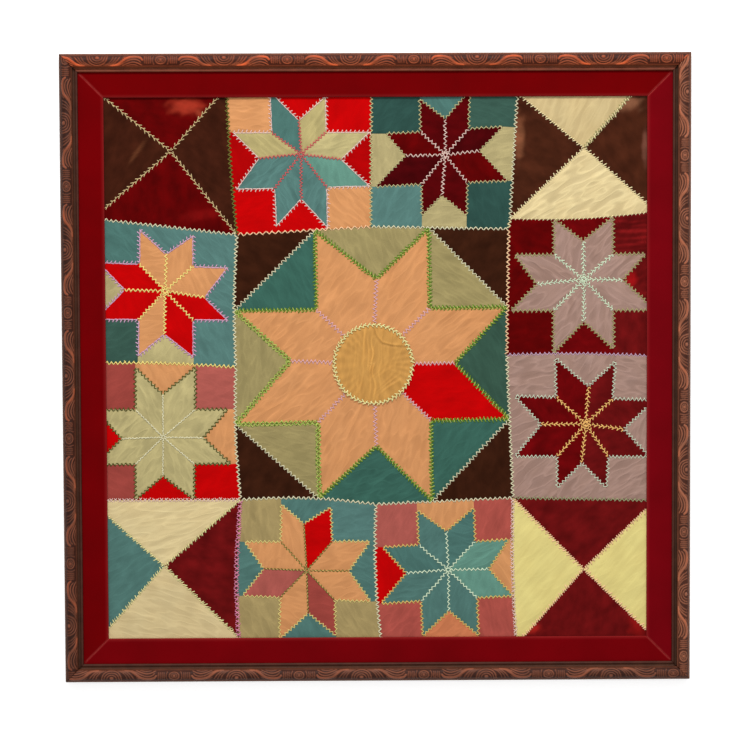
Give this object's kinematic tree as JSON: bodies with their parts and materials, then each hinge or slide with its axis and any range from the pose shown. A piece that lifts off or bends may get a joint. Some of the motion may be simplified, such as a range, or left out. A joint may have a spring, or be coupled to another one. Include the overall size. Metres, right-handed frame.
{
  "type": "framed star quilt",
  "caption": "Patched star quilt top laid flat over a board, with a velvet liner, in a narrow carved wooden frame. It lies on its back, face up.",
  "frame": {"origin": "on the surface, under the middle of the quilt, at the back of the frame", "axes": "+X to the right of the quilt, +Y towards its top edge, +Z out of its face"},
  "size_m": [0.9426, 0.9426, 0.0235],
  "materials": {
    "carved_wood": "dark red-brown stain, worn to orange on the raised carving",
    "liner_velvet": "crimson velvet",
    "board": "plain hardboard",
    "patchwork": "velvet, satin and plain silk patches with thread embroidery on the seams",
    "gold_silk": "puckered silk"
  },
  "bodies": {
    "root": {"block_nw": "patchwork", "block_n1": "patchwork", "block_n2": "patchwork", "block_ne": "patchwork", "block_w1": "patchwork", "block_w2": "patchwork", "block_e1": "patchwork", "block_e2": "patchwork", "block_sw": "patchwork", "block_s1": "patchwork", "block_s2": "patchwork", "block_se": "patchwork", "block_centre": "patchwork", "centre_disc": "gold_silk", "liner_top": "liner_velvet", "liner_right": "liner_velvet", "liner_bottom": "liner_velvet", "liner_left": "liner_velvet", "rail_top": "carved_wood", "rail_right": "carved_wood", "rail_bottom": "carved_wood", "rail_left": "carved_wood", "mount_board": "board"}
  },
  "joints": []
}
